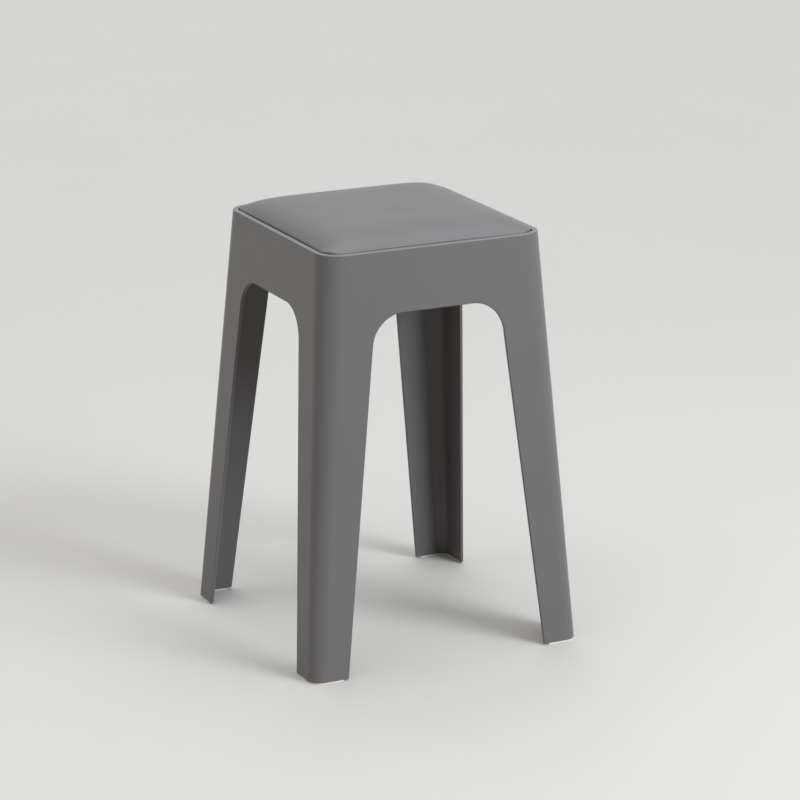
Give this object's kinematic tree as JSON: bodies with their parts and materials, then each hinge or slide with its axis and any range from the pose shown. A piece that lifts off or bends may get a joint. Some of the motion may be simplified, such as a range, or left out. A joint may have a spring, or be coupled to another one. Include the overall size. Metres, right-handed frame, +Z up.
{
  "type": "stacking stool",
  "caption": "Square stacking stool: a one-piece moulded body that tapers up from L-section legs with arches between them, and an inset, softly crowned seat pad.",
  "frame": {"origin": "on the floor under the middle of the seat", "axes": "+Z up; -Y is the front, the broad face turned towards the camera; the four sides are alike"},
  "size_m": [0.323, 0.323, 0.476],
  "materials": {
    "frame_plastic": "satin",
    "cover_leatherette": "satin",
    "foam": "matte",
    "plywood": "matte",
    "staple_wire": "satin",
    "zinc_steel": "satin",
    "foot_rubber": "matte"
  },
  "bodies": {
    "root": {"stool_frame": "frame_plastic", "seat_board": "plywood", "seat_foam": "foam", "seat_cover": "cover_leatherette", "cover_staples": "staple_wire", "tee_nuts": "zinc_steel", "pad_screws": "zinc_steel", "pad_washers": "zinc_steel", "foot_strip_back_right": "foot_rubber", "foot_strip_back_left": "foot_rubber", "foot_strip_front_left": "foot_rubber", "foot_strip_front_right": "foot_rubber"}
  },
  "joints": []
}
